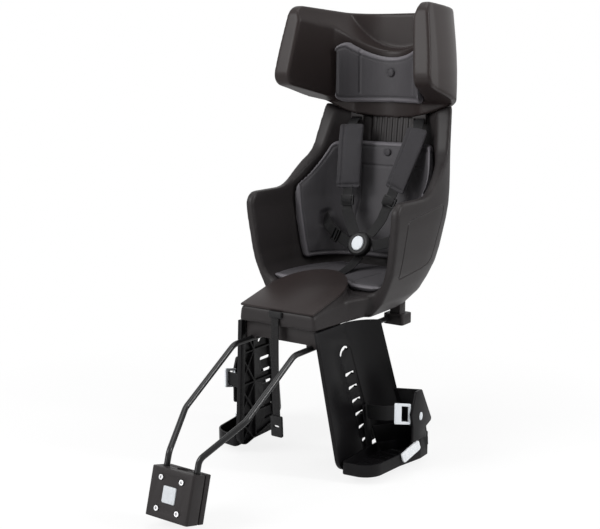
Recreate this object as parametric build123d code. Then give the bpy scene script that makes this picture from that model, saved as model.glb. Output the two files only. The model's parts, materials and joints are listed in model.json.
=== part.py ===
from build123d import *
import os
from math import atan2, copysign, cos, degrees, pi, radians, sin, tan

os.makedirs("parts", exist_ok=True)

# Child bike seat, in millimetres.
# X runs across the bicycle, the child faces -Y, Z is up.
# The origin is the middle of the seat tube bore in the clamp block.

# Clearances
slide_clear = 0.4
seat_clear = 0.3
button_clear = 0.35

# Clamp block on the seat tube
tube_radius = 14.3
tube_lean = 16.0
block_width = 101.0
block_height = 92.0
block_front = 34.0
block_rear = 18.0
block_split = 1.5
block_edge = 5.0
bolt_spread = 24.5
bolt_reach = 28.7
bolt_radius = 3.0
bolt_head_radius = 5.0
bolt_head_height = 5.0
bolt_head_sink = 3.0
bolt_tail = 6.0
hex_socket = 5.0
nut_across = 10.0
nut_height = 5.0
release_width = 30.0
release_height = 31.0
release_depth = 9.0
release_proud = 1.5
button_travel = 3.0

# Carrier bars
bar_radius = 6.0
bar_track = 75.0
bar_level = 216.0
bar_back = 676.0
bar_bend_y = 262.0
bar_low_y = 104.0
bar_low_z = 124.5
bar_low_track = 73.5
bar_pitch = 36.4
bar_ahead = 9.0
bar_knee = 26.0
bar_socket = 62.0
bar_bend_radius = 42.0
bar_knee_radius = 22.0

# Clamps of the bars under the seat
clamp_wall = 6.0
front_clamp_y = 352.0
front_clamp_length = 60.0
front_clamp_half = 88.0
rear_clamp_y = 652.0
rear_clamp_length = 44.0
rear_clamp_width = 50.0
rear_clamp_out = 16.0
rear_neck_width = 26.0

# Bucket shell: height, half width and back of its outer form
shell_form = (
    (255.0, 122.0, 718.0),
    (272.0, 141.0, 731.0),
    (303.0, 158.0, 748.0),
    (350.0, 178.0, 765.0),
    (405.0, 187.0, 780.0),
    (480.0, 195.0, 795.0),
    (600.0, 187.0, 812.0),
    (700.0, 181.0, 826.0),
)
back_round = 200.0
back_power = 3.0
round_steps = 12
level_step = 32.0
arm_toe_in = 1.0
shell_front = 430.0
rim_wall = 20.0
back_wall = 38.0
floor_z = 306.0
floor_round = 28.0
arm_low_y = 472.0
arm_tip_y = 458.5
arm_top_z = 503.0
arm_tip_round = 28.0
arm_sweep_y = 600.0
arm_sweep_round = 95.0
shoulder_y = 704.0
shoulder_z = 580.0
shoulder_round = 70.0
neck_y = 810.0
neck_axis_z = 1052.0
neck_radius = 400.0
neck_gap = 5.0

# Nose in front of the bucket
nose_front_y = 306.0
nose_half = 90.5
nose_low_half = 95.5
nose_top_z = 288.0
nose_slope = 13.0
nose_flare_run = 28.0
nose_flare_half = 150.0
nose_flare_low_half = 116.0
nose_waist_y = 415.0
nose_waist_half = 97.0
nose_waist_low_half = 103.0
nose_waist_z = 300.0
cover_thick = 5.0
cover_straight = 95.0
cover_length = 212.0

# Pads in the bucket
back_pad_thick = 12.0
back_pad_low_z = 336.0
back_pad_low_half = 163.0
back_pad_wide_z = 484.0
back_pad_wide_half = 170.0
back_pad_top_z = 602.0
back_pad_top_half = 128.0
back_pad_round = 14.0
pad_stud_z = 578.0
stud_radius = 9.0
stud_gap = 1.2
stud_height = 5.0
seat_pad_thick = 14.0
seat_pad_front_y = 487.0
seat_pad_edge = 4.0
seat_pad_round = 120.0
back_pad_front_y = 618.0

# Headrest: height, half width and back of its outer form
head_form = (
    (640.0, 196.0, 818.0),
    (780.0, 191.0, 826.0),
    (930.0, 168.0, 834.0),
)
head_toe_out = 9.0
head_front = 545.0
head_wing_wall = 26.0
head_corner_half = 118.0
head_corner_y = 706.0
head_back_y = 780.0
head_rear_wall = 14.0
wing_low_y = 572.0
wing_low_z = 738.0
wing_top_y = 605.0
wing_top_z = 911.0
wing_round = 28.0
head_top_back_z = 893.0
wing_root_y = 748.0
wing_root_z = 694.0
dish_radius = 130.0
dish_flare = 8.0
dish_axis_z = 940.0
head_pad_thick = 12.0
head_pad_half = 108.0
head_pad_rise = 41.0
head_pad_top_z = 830.0
head_pad_margin = 14.0
head_stud_z = 760.0

# Headrest slide in the back
slide_lean = 7.0
slide_y = 776.0
slide_z = 600.0
slider_width = 112.0
slider_thick = 10.0
slider_low_z = 470.0
slider_socket = 45.0
slider_rib = 2.0
slider_rib_count = 7
guide_x = 82.0
guide_y = 752.0
guide_drop = 19.0
guide_width = 34.0
guide_thick = 8.0
guide_slot_width = 27.0
guide_slot_height = 8.0

# Harness
web_width = 25.0
web_thick = 1.8
shoulder_pad_width = 62.0
shoulder_pad_thick = 9.0
adjuster_width = 34.0
adjuster_height = 24.0
adjuster_thick = 5.0
buckle_radius = 28.0
buckle_thick = 18.0
buckle_round = 4.0
buckle_y = 640.0
buckle_z = 375.0
buckle_lean = 25.0
buckle_button_width = 30.0
buckle_button_height = 34.0
buckle_button_depth = 8.0
buckle_button_proud = 2.0

# Leg guards
guard_low_z = -52.0
guard_wall_x = 100.0
guard_tilt = 6.8
guard_front_y = 308.0
guard_front_lean = 6.4
guard_flat_end = 405.0
guard_rear_lean = 15.1
guard_turn_out = 46.0
guard_turn_run = 73.0
guard_skin = 4.0
guard_depth = 10.0
guard_rib = 4.0
guard_flange = 15.0
rib_split = 0.45
rib_rear_gap = 6.0
guard_bay_count = 4
guard_toe_round = 30.0
slot_count = 6
slot_pitch = 30.0
slot_length = 34.0
slot_height = 7.0
slot_top_z = 147.0
slot_top_y = 414.0
arch_gap = 40.0
arch_width = 8.0
panel_depth = 1.2
panel_margin = 2.5

# Footrests
foot_low_z = -45.0
foot_front_y = 350.0
foot_length = 200.0
foot_toe = 8.0
foot_toe_width = 68.0
foot_waist_width = 80.0
foot_waist_y = 95.0
foot_width = 95.0
foot_neck_y = 160.0
foot_front_round = 44.0
foot_side_round = 25.0
foot_heel_round = 10.0
foot_floor = 5.0
foot_wall = 4.0
foot_gap = 4.0
foot_open = 62.0
foot_rim = 26.0
foot_side_rim = 50.0
heel_low_x = 58.0
heel_low_y = 192.0
heel_top_x = 47.0
heel_top_y = 137.0
heel_turn = 20.0
tread_count = 6
tread_height = 1.5
tread_width = 4.0
plate_thick = 6.0
catch_front_y = 107.0
catch_front_z = 112.0
catch_top_front_y = 124.0
catch_top_y = 150.0
catch_top_z = 158.0
catch_rear_y = 198.0
catch_rear_z = 79.0
catch_waist_y = 167.0
catch_waist_z = 69.0
catch_neck_front_y = 114.0
catch_neck_top_z = 84.0
catch_neck_rear_y = 180.0
catch_neck_low_z = 38.0
catch_round = 6.0
catch_stud_y = 144.0
catch_stud_z = 101.0
catch_button_length = 18.0
catch_button_width = 13.0
catch_button_proud = 2.5
foot_strap_width = 30.0
foot_strap_thick = 3.0
strap_root_y = 103.0
strap_root_z = 103.0
strap_bow = 6.0
lug_thick = 3.0
lug_width = 24.0
frame_length = 50.0
frame_turn = 10.3
frame_height = 45.0
frame_thick = 4.0
frame_bar = 6.0
frame_front_bar = 20.0
reflector_length = 56.0
reflector_height = 23.0
reflector_thick = 5.0
reflector_y = 126.0
reflector_z = 26.0

# Routes of the webbing
strap_gap = 0.6
strap_rise_out = 6.2
web_lead = 8.0
adjuster_drop = 26.0
pad_turn = 0.22
left_pad_route = [(-82, 731, 644), (-78, 717, 598), (-74, 706, 545), (-72, 698, 494)]
right_pad_route = [(92, 730, 640), (84, 715, 598), (68, 705, 548), (50, 697, 497)]
left_web_route = [(-45, 668, 424), (-18.3, 640.8, 398.9)]
right_web_route = [(34, 668, 426), (20, 642.1, 400.1)]
hip_route = [(124, 680, 426), (100, 672, 396), (30.6, 637, 376)]
crotch_route = [(0, 522, 321.7), (0, 570, 325), (0, 610, 339), (0, 630, 349)]

# Hanging safety strap
safety_route = [(0, 302, 274), (0, 301, 205), (0, 302.5, 132), (0, 306, 64)]
keeper_width = 32.0
keeper_depth = 6.0
keeper_height = 13.0
safety_width = 22.0
safety_thick = 2.2
safety_tip_length = 46.0
safety_tip_width = 28.0
safety_tip_thick = 6.0
safety_tip_slot = 14.0
safety_tip_slot_height = 5.0


# Cutting tools reach past the widest row of the shell
side_reach = 1.5 * max(half for _, half, _ in shell_form)


def save(name, shape):
    export_step(shape, f"parts/{name}.step")


def save_pair(name, right_shape):
    save(f"right_{name}", right_shape)
    save(f"left_{name}", mirror(right_shape, about=Plane.YZ))


def form_at(form, height):
    """Half width and back of a form at a height, on a smooth curve through its rows."""
    last = len(form) - 2
    index = max(i for i in range(last + 1) if i == 0 or form[i][0] <= height)
    rows = [form[min(max(i, 0), last + 1)] for i in range(index - 1, index + 3)]
    span = rows[2][0] - rows[1][0]
    t = (height - rows[1][0]) / span
    values = []
    for column in (1, 2):
        before, start, end, after = (row[column] for row in rows)
        rise_in = (end - before) * span / max(rows[2][0] - rows[0][0], span)
        rise_out = (after - start) * span / max(rows[3][0] - rows[1][0], span)
        values.append(
            start * (1 + 2 * t) * (1 - t) ** 2
            + rise_in * t * (1 - t) ** 2
            + end * t * t * (3 - 2 * t)
            + rise_out * t * t * (t - 1)
        )
    return values


def plan_section(height, half, back, front, toe_in, depth=back_round):
    """Plan outline at one height: straight arms in front of a rounded back of some depth."""
    middle = back - depth
    points = []
    for index in range(round_steps + 1):
        across, along = cos(pi * index / round_steps), sin(pi * index / round_steps)
        x = half * copysign(abs(across) ** (2 / back_power), across)
        points.append((x, middle + depth * abs(along) ** (2 / back_power)))
    round_back = Spline(*points, tangents=[(0, 1), (0, -1)])
    arms = Polyline((-half, middle), (toe_in - half, front), (half - toe_in, front), (half, middle))
    return Pos(0, 0, height) * make_face([round_back, arms])


def form_loft(form, heights, front, toe_in, side_wall=0.0, rear_wall=0.0):
    """Solid inside a form, in level bands, drawn in by a wall at its sides and back."""
    sections = []
    for height in heights:
        half, back = form_at(form, height)
        sections.append(plan_section(height, half - side_wall, back - rear_wall, front, toe_in))
    return loft(sections, ruled=True)


def levels(low, high, step):
    """Heights from low to high, evenly spaced by about one step."""
    count = max(round((high - low) / step), 1)
    return [low + (high - low) * index / count for index in range(count + 1)]


def side_cut(outline):
    """Solid that spans the seat, from an outline of (y, z) points and corner radii."""
    points = [(y, z) for y, z, _ in outline]
    radii = [radius for _, _, radius in outline]
    face = make_face(FilletPolyline(*points, radius=radii, close=True))
    return extrude(Plane.YZ * face, side_reach, both=True)


def front_cut(face):
    """Solid from a face drawn in (x, z), running right through the seat."""
    return extrude(Plane.XZ * face, side_reach * 4, both=True)


def rounded(points, radius):
    """Face with the given corners, all rounded by one radius."""
    return make_face(FilletPolyline(*points, radius=radius, close=True))


def ribbon(points, across, width, thick):
    """Flat webbing through points, as straight runs of one section."""
    points = [Vector(point) for point in points]
    sections = []
    for index, point in enumerate(points):
        before = points[max(index - 1, 0)]
        after = points[min(index + 1, len(points) - 1)]
        run = (after - before).normalized()
        side = Vector(across)
        side = (side - run * side.dot(run)).normalized()
        sections.append(Plane(point, x_dir=side, z_dir=run) * Rectangle(width, thick))
    return loft(sections, ruled=True)


# Frames shared by several pieces
tube_axis = Vector(0, sin(radians(tube_lean)), cos(radians(tube_lean)))
block_plane = Plane((0, 0, 0), x_dir=(1, 0, 0), z_dir=tube_axis)
slide_axis = Vector(0, sin(radians(slide_lean)), cos(radians(slide_lean)))
slide_plane = Plane((0, slide_y, slide_z), x_dir=(1, 0, 0), z_dir=slide_axis)
nose_normal = Vector(0, -sin(radians(nose_slope)), cos(radians(nose_slope)))
nose_plane = Plane((0, nose_front_y, nose_top_z), x_dir=(1, 0, 0), z_dir=nose_normal)
shell_low = shell_form[0][0]
shell_high = shell_form[-1][0]
guard_top_z = shell_low - seat_clear
neck_low_z = neck_axis_z - neck_radius


# Clamp block
def make_block():
    half_height = block_height / 2
    body = Pos(0, -(block_front + block_split) / 2) * Box(block_width, block_front - block_split, block_height)
    body = fillet(body.edges().filter_by(Axis.Z).group_by(Axis.Y)[0], block_edge)
    plate = Pos(0, (block_rear + block_split) / 2) * Box(block_width, block_rear - block_split, block_height)
    plate = fillet(plate.edges().filter_by(Axis.Z).group_by(Axis.Y)[-1], block_edge)
    bore = Cylinder(tube_radius, block_height * 2)
    body -= bore
    plate -= bore
    socket = Cylinder(bar_radius, bar_socket, align=(Align.CENTER, Align.CENTER, Align.MAX))
    for x in (-bar_pitch, bar_pitch):
        body -= Pos(x, -bar_ahead, half_height) * socket
    length = block_front + block_rear + bolt_tail - bolt_head_sink
    shank = Rot(90, 0, 0) * Cylinder(bolt_radius, length, align=(Align.CENTER, Align.CENTER, Align.MAX))
    head = Rot(90, 0, 0) * Cylinder(bolt_head_radius, bolt_head_height, align=(Align.CENTER, Align.CENTER, Align.MIN))
    hexagon = RegularPolygon(hex_socket / 2, 6, major_radius=False)
    head -= Pos(0, -bolt_head_height, 0) * Rot(90, 0, 0) * extrude(hexagon, -bolt_head_height / 2)
    nut = Rot(90, 0, 0) * extrude(RegularPolygon(nut_across / 2, 6, major_radius=False), -nut_height)
    nut -= Rot(90, 0, 0) * Cylinder(bolt_radius, nut_height * 3)
    seat = Rot(90, 0, 0) * Cylinder(bolt_head_radius + seat_clear, bolt_head_sink * 2)
    hole = Rot(90, 0, 0) * Cylinder(bolt_radius, block_front * 4)
    bolts = []
    nuts = []
    for x in (-bolt_spread, bolt_spread):
        for z in (-bolt_reach, bolt_reach):
            body -= Pos(x, -block_front, z) * seat
            body -= Pos(x, 0, z) * hole
            plate -= Pos(x, 0, z) * hole
            bolts.append(block_plane * Pos(x, bolt_head_sink - block_front, z) * (shank + head))
            nuts.append(block_plane * Pos(x, block_rear, z) * nut)
    middle = (Align.CENTER, Align.MIN, Align.CENTER)
    pocket_depth = release_depth - release_proud + button_travel + button_clear
    pocket_width = release_width + 2 * button_clear
    pocket_height = release_height + 2 * button_clear
    body -= Pos(0, -block_front, 0) * Box(pocket_width, pocket_depth, pocket_height, align=middle)
    button = Box(release_width, release_depth, release_height, align=middle)
    button = fillet(button.edges().filter_by(Axis.Y), block_edge / 2)
    button = Pos(0, -block_front - release_proud, 0) * button
    save("block_body", block_plane * body)
    save("block_clamp_plate", block_plane * plate)
    save("block_bolts", Compound(bolts))
    save("block_nuts", Compound(nuts))
    save("release_button", block_plane * button)


# Carrier bars and what clamps them under the seat
def make_bars():
    foot = block_plane.from_local_coords(Vector(bar_pitch, -bar_ahead, block_height / 2 - bar_socket))
    knee = block_plane.from_local_coords(Vector(bar_pitch, -bar_ahead, block_height / 2 + bar_knee))
    points = [
        (bar_track, bar_back, bar_level),
        (bar_track, bar_bend_y, bar_level),
        (bar_low_track, bar_low_y, bar_low_z),
        knee,
        foot,
    ]
    path = FilletPolyline(*points, radius=[bar_bend_radius, bar_bend_radius, bar_knee_radius])
    start = Plane((bar_track, bar_back, bar_level), z_dir=(0, -1, 0))
    save_pair("carrier_bar", sweep(start * Circle(bar_radius), path=path))


def make_bar_clamps(outer):
    """Saddles under the nose and boxes under the back of the shell, round both bars."""
    bars = Compound([
        Pos(x, 0, bar_level) * Rot(90, 0, 0) * Cylinder(bar_radius, side_reach * 8) for x in (-bar_track, bar_track)
    ])
    size = (2 * front_clamp_half, front_clamp_length, shell_low - bar_level)
    front = Pos(0, front_clamp_y, bar_level) * Box(*size, align=(Align.CENTER, Align.CENTER, Align.MIN))
    span = 2 * (bar_track - bar_radius - clamp_wall)
    front -= Pos(0, front_clamp_y, bar_level) * Box(span, front_clamp_length * 2, 2 * bar_radius)
    save("front_bar_clamp", front - bars)
    low = bar_level - bar_radius - clamp_wall
    spot = Pos(bar_track + rear_clamp_out, rear_clamp_y, low)
    lift = shell_form[1][0] - low
    align = (Align.CENTER, Align.CENTER, Align.MIN)
    box = spot * Box(rear_clamp_width, rear_clamp_length, 2 * (bar_radius + clamp_wall), align=align)
    box = fillet(box.edges().filter_by(Axis.Z), clamp_wall)
    neck = spot * Box(rear_neck_width, rear_neck_width, lift, align=align)
    box = box + neck - Pos(0, 0, -seat_clear) * outer - bars
    save_pair("rear_bar_clamp", box)


# Bucket shell
def shell_outer():
    return form_loft(shell_form, levels(shell_low, shell_high, level_step), shell_front, arm_toe_in)


def shell_inner(inset=0.0):
    """Space in the bucket, smaller all round by the inset, with a rounded floor."""
    sections = []
    for turn in (0, 22, 45, 68, 90):
        height = floor_z + inset + floor_round * (1 - cos(radians(turn)))
        half, back = form_at(shell_form, height)
        draw_in = inset + floor_round * (1 - sin(radians(turn)))
        sections.append((height, half - rim_wall - draw_in, back - back_wall - draw_in))
    for height in levels(sections[-1][0], shell_high, level_step)[1:]:
        half, back = form_at(shell_form, height)
        sections.append((height, half - rim_wall - inset, back - back_wall - inset))
    front = shell_front - 1 - inset
    return loft([plan_section(z, half, back, front, arm_toe_in) for z, half, back in sections], ruled=True)


def neck_cylinder(gap):
    axis = Pos(0, slide_y, neck_axis_z) * Rot(90, 0, 0)
    return axis * Cylinder(neck_radius - gap, side_reach * 4)


def cover_outline(inset):
    """Outline of the nose cover in its own plane, drawn in all round."""
    half = nose_half - inset
    straight = Polyline((half, cover_straight), (half, 0), (-half, 0), (-half, cover_straight))
    rear = EllipticalCenterArc((0, cover_straight), half, cover_length - cover_straight - inset, arc_size=180)
    return make_face([straight, rear])


def make_nose():
    sections = []
    for y, low_half, half, high in (
        (nose_front_y, nose_low_half, nose_half, nose_top_z),
        (nose_waist_y, nose_waist_low_half, nose_waist_half, nose_waist_z),
        (arm_low_y + nose_flare_run, nose_flare_low_half, nose_flare_half, floor_z),
    ):
        corners = [(-low_half, shell_low), (low_half, shell_low), (half, high), (-half, high)]
        sections.append(Plane.XZ.offset(-y) * make_face(Polyline(*corners, close=True)))
    flare = loft(sections, ruled=True)
    pommel = nose_plane * extrude(cover_outline(0), shell_low - nose_top_z)
    pommel -= Pos(0, 0, shell_low) * Box(
        side_reach * 2, side_reach * 4, side_reach, align=(Align.CENTER, Align.CENTER, Align.MAX)
    )
    pommel &= Pos(0, nose_front_y, 0) * Box(
        side_reach * 2, side_reach * 2, side_reach * 4, align=(Align.CENTER, Align.MIN, Align.CENTER)
    )
    return flare + pommel


def make_shell(outer, inner):
    low = shell_low - 1
    high = neck_axis_z - neck_radius / 2
    far = shell_form[-1][2] + back_wall
    rim_line = side_cut(
        (
            (arm_low_y, low, 0),
            (arm_low_y, floor_z, 0),
            (arm_tip_y, arm_top_z, arm_tip_round),
            (arm_sweep_y, arm_top_z, arm_sweep_round),
            (shoulder_y, shoulder_z, shoulder_round),
            (neck_y, high, 0),
            (far, high, 0),
            (far, low, 0),
        )
    )
    bucket = (outer & rim_line) - inner - neck_cylinder(0)
    channel_low = (slider_low_z - slide_z) / cos(radians(slide_lean)) - slide_clear
    channel = Box(
        slider_width + 2 * slide_clear, 2 * back_wall, shell_high, align=(Align.CENTER, Align.MAX, Align.MIN)
    )
    bucket -= slide_plane * Pos(0, slider_thick + slide_clear, channel_low) * channel
    return bucket + make_nose()


# Pads in the bucket
def make_bucket_pads():
    outline = rounded(
        [
            (-back_pad_low_half, back_pad_low_z),
            (back_pad_low_half, back_pad_low_z),
            (back_pad_wide_half, back_pad_wide_z),
            (back_pad_top_half, back_pad_top_z),
            (-back_pad_top_half, back_pad_top_z),
            (-back_pad_wide_half, back_pad_wide_z),
        ],
        back_pad_round,
    )
    skin = shell_inner(seat_clear) - shell_inner(seat_clear + back_pad_thick)
    pad = front_cut(outline) & skin
    behind = Pos(0, back_pad_front_y, 0) * Box(
        side_reach * 2, side_reach * 2, side_reach * 8, align=(Align.CENTER, Align.MIN, Align.CENTER)
    )
    pad = pad & behind
    seat_top = floor_z + seat_clear + seat_pad_thick
    floor_half, floor_back = form_at(shell_form, seat_top)
    draw = rim_wall + seat_pad_edge
    rear = floor_back - back_wall - back_pad_thick - seat_pad_edge
    cushion = plan_section(0, floor_half - draw, rear, seat_pad_front_y, 0, seat_pad_round)
    cushion = Pos(0, 0, floor_z + seat_clear) * extrude(cushion, seat_pad_thick)
    cushion -= nose_plane * Pos(0, 0, -side_reach) * extrude(cover_outline(-seat_pad_edge), side_reach * 2)
    return pad, cushion & shell_inner(seat_clear)


# Headrest
def head_outer(wall=0.0):
    heights = levels(head_form[0][0], head_form[-1][0], level_step)
    return form_loft(head_form, heights, head_front, -head_toe_out, wall, wall)


def head_space(inset=0.0):
    """Room for the head: wings that open towards the front and a round back."""
    sections = []
    for height in (head_form[0][0], head_form[-1][0]):
        half, _ = form_at(head_form, height)
        front_half = half + head_toe_out - head_wing_wall - inset
        corner = (head_corner_half - inset, head_corner_y - inset)
        arms = Polyline(
            (-corner[0], corner[1]), (-front_half, head_front), (front_half, head_front), (corner[0], corner[1])
        )
        back = ThreePointArc((corner[0], corner[1]), (0, head_back_y - inset), (-corner[0], corner[1]))
        sections.append(Pos(0, 0, height) * make_face([arms, back]))
    return loft(sections, ruled=True)


def dish():
    """Round scoop over the head, wider towards the front."""
    spread = side_reach * tan(radians(dish_flare))
    scoop = Cone(dish_radius - spread, dish_radius + spread, side_reach * 2)
    return Pos(0, head_back_y, dish_axis_z) * Rot(90, 0, 0) * scoop


def make_headrest():
    far = head_form[-1][2] + back_wall
    low = neck_low_z - neck_gap
    outline = side_cut(
        (
            (wing_low_y, wing_low_z, wing_round),
            (wing_top_y, wing_top_z, wing_round),
            (far, head_top_back_z, 0),
            (far, low, 0),
            (wing_root_y, low, 0),
            (wing_root_y, wing_root_z, 0),
        )
    )
    space = head_space()
    shell = (head_outer() & outline & neck_cylinder(neck_gap)) - space
    shell -= dish() & head_outer(head_rear_wall)
    slider = make_slider()
    shell -= slider
    pad_top = Pos(0, dish_axis_z) * Circle(dish_radius + head_pad_margin)
    face = rounded(
        [
            (-head_pad_half, neck_low_z + head_pad_rise),
            (head_pad_half, neck_low_z + head_pad_rise),
            (head_pad_half, head_pad_top_z),
            (-head_pad_half, head_pad_top_z),
        ],
        back_pad_round,
    )
    pad = front_cut(face - pad_top) & (head_space(seat_clear) - head_space(seat_clear + head_pad_thick))
    return shell, pad, slider


def make_slider():
    low = (slider_low_z - slide_z) / cos(radians(slide_lean))
    high = (neck_low_z - slide_z) / cos(radians(slide_lean)) + neck_gap + slider_socket
    plate = Pos(0, slider_thick / 2, (low + high) / 2) * Box(slider_width, slider_thick, high - low)
    pitch = slider_width / (slider_rib_count + 1)
    for index in range(1, slider_rib_count + 1):
        groove = Box(pitch / 2, slider_rib, high - low + 2)
        plate -= Pos(index * pitch - slider_width / 2, slider_rib / 2, (low + high) / 2) * groove
    return slide_plane * plate


# Strap guides under the headrest
def guide_low():
    """Lower end of a guide: it hangs by its drop from the headrest's arched underside."""
    arch = neck_radius - neck_gap
    return neck_axis_z - (arch * arch - guide_x * guide_x) ** 0.5 - guide_drop


def make_guides():
    guides = []
    for x in (-guide_x, guide_x):
        tab = Box(guide_width, guide_thick, neck_radius, align=(Align.CENTER, Align.MIN, Align.MIN))
        slot = Box(guide_slot_width, guide_thick * 3, guide_slot_height)
        tab -= Pos(0, 0, guide_slot_height) * slot
        guides.append(Pos(x, guide_y, guide_low()) * tab - neck_cylinder(neck_gap - seat_clear))
    return Compound(guides)


def make_studs():
    """Round studs that hold the pads, each flush on its pad's face."""
    _, back = form_at(shell_form, pad_stud_z)
    places = {
        "back_pad_stud": (back - back_wall - seat_clear - back_pad_thick, pad_stud_z),
        "headrest_stud": (head_back_y - seat_clear - head_pad_thick, head_stud_z),
    }
    for name, (y, z) in places.items():
        stud = Cylinder(stud_radius, stud_height, align=(Align.CENTER, Align.CENTER, Align.MIN))
        stud = chamfer(stud.edges().group_by(Axis.Z)[-1], stud_height / 2)
        save(name, Pos(0, y - stud_gap, z) * Rot(90, 0, 0) * stud)


# Leg guards
guard_out = tan(radians(guard_tilt))
guard_height = guard_top_z - guard_low_z
foot_lean = tan(radians(guard_rear_lean))
front_lean = tan(radians(guard_front_lean))
foot_up = Vector(-guard_out, -foot_lean, 1).normalized()


def wall_x(z):
    """Leg side of the flat guard wall at a height."""
    return guard_wall_x + (guard_top_z - z) * guard_out


def guard_front(z):
    """Front edge of the guard at a height."""
    return guard_front_y + (guard_top_z - z) * front_lean


def guard_end(z):
    """Where the flat guard wall starts to turn, at a height."""
    return guard_flat_end + (guard_top_z - z) * foot_lean


def guard_drop(face):
    """Solid from a plan at the top of the guard, running down along the guard's lean."""
    return extrude(Pos(0, 0, guard_top_z) * face, guard_height / foot_up.Z, dir=foot_up * -1)


def guard_skin_solid():
    """Skin of the right guard: a flat wall, then a quarter turn round the calf."""
    x = guard_wall_x
    wheel_x = x - guard_skin
    ahead = guard_front_y - guard_height * (foot_lean - front_lean)
    end = guard_flat_end
    tip = Vector(x + guard_turn_out, end + guard_turn_run)
    turn = 2 * atan2(guard_turn_out, guard_turn_run)
    far = tip + Vector(-cos(turn), sin(turn)) * guard_skin
    leg_turn = TangentArc((x, end), tip, tangent=(0, 1))
    wheel_turn = TangentArc((wheel_x, end), far, tangent=(0, 1))
    edges = [Line((x, ahead), (x, end)), leg_turn, Line(tip, far)]
    edges += [wheel_turn, Line((wheel_x, end), (wheel_x, ahead)), Line((wheel_x, ahead), (x, ahead))]
    return guard_drop(make_face(edges))


def guard_frame():
    """Ribs on the wheel side: a border, cross members and diagonals in each bay."""
    depth = guard_depth - guard_skin
    length = guard_flat_end - guard_front_y + guard_height * (foot_lean - front_lean)
    room = guard_drop(Pos(guard_wall_x - guard_skin - depth / 2, guard_flat_end - length / 2) * Rectangle(depth, length))

    def bar(start, end, width):
        run = Vector(*end) - Vector(*start)
        angle = degrees(atan2(run.Y, run.X))
        mid = (Vector(*start) + Vector(*end)) / 2
        return Pos(mid.X, mid.Y) * Rot(0, 0, angle) * Rectangle(run.length + width, width)

    heights = levels(guard_low_z + guard_rib / 2, guard_top_z - guard_rib / 2, guard_height / guard_bay_count)
    front = [(guard_front(z), z) for z in heights]
    rear = [(guard_end(z) - rib_rear_gap, z) for z in heights]
    split = [(y * (1 - rib_split) + end * rib_split, z) for (y, z), (end, _) in zip(front, rear)]
    border = [(y + guard_flange / 2, z) for y, z in front]
    ribs = bar(border[0], border[-1], guard_flange)
    ribs += bar(rear[0], rear[-1], guard_rib)
    ribs += bar(split[0], split[-1], guard_rib)
    for index in range(len(heights)):
        ribs += bar(front[index], rear[index], guard_rib)
        if index:
            ribs += bar(front[index - 1], split[index], guard_rib)
            ribs += bar(split[index - 1], front[index], guard_rib)
    foot = bar(*guard_foot(guard_rib / 2), guard_rib)
    return room & extrude(Plane.YZ * (ribs + foot), side_reach)


def guard_foot(rise=0.0):
    """Lower edge of the guard, square to its rear edge, as two (y, z) points."""
    front = guard_front(guard_low_z)
    run = guard_end(guard_low_z) + 2 * guard_turn_run - front
    return (front, guard_low_z + rise), (front + run, guard_low_z + rise + run * foot_lean)


def slot_cutter():
    """Height slots for the footrest, with an arched slot above them."""
    slots = []
    for index in range(slot_count):
        z = slot_top_z - index * slot_pitch
        slots.append(Pos(slot_top_y + (slot_top_z - z) * foot_lean, z) * SlotOverall(slot_length, slot_height))
    arch = Pos(*arch_centre()) * SlotArc(CenterArc((0, 0), slot_length / 2, 60, 100), arch_width)
    return extrude(Plane.YZ * (Sketch() + slots + arch), side_reach)


def arch_centre():
    return slot_top_y - arch_gap * foot_lean, slot_top_z + arch_gap


def slot_panel():
    """Cutter of the shallow sunk panel round the slots, with its round end at the arch."""
    width = slot_length + arch_width + 2 * panel_margin
    length = guard_flat_end + guard_turn_run - guard_front_y
    layer = guard_drop(
        Pos(guard_wall_x - panel_depth, guard_front_y)
        * Rectangle(guard_turn_out, length, align=(Align.MIN, Align.MIN))
    )
    y, z = arch_centre()
    middle = Pos(y, z) * Rot(0, 0, guard_rear_lean) * Pos(0, -guard_height / 2)
    tongue = middle * SlotCenterToCenter(guard_height, width, rotation=90)
    return layer & extrude(Plane.YZ * tongue, side_reach)


def make_guard():
    skin = guard_skin_solid()
    guard = skin - slot_panel() + guard_frame()
    guard -= slot_cutter()
    top = guard_top_z + guard_rib
    (toe_y, toe_z), (heel_y, heel_z) = guard_foot()
    outline = side_cut(
        (
            (guard_front(top), top, 0),
            (toe_y, toe_z, guard_toe_round),
            (heel_y, heel_z, 0),
            (heel_y, top, 0),
        )
    )
    return guard & outline


# Footrests
def foot_frame():
    """Frame of the right footrest: upright, at the foot of the guard wall, x out of it."""
    return Pos(wall_x(foot_low_z), foot_front_y, foot_low_z)


def foot_outline():
    """Plan of the tray: round at the toe, wide at the heel and cut back along the guard's turn."""
    points = [
        (slide_clear, -foot_toe),
        (foot_toe_width, 0),
        (foot_waist_width, foot_waist_y),
        (foot_width, foot_neck_y),
        (foot_width, foot_length),
        (guard_turn_out + foot_gap, foot_length),
        (slide_clear, guard_end(foot_low_z) - foot_front_y - foot_gap),
    ]
    radii = [2 * foot_wall, foot_front_round, foot_side_round, foot_side_round]
    radii += [foot_heel_round] * 3
    return make_face(FilletPolyline(*points, radius=radii, close=True))


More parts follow.
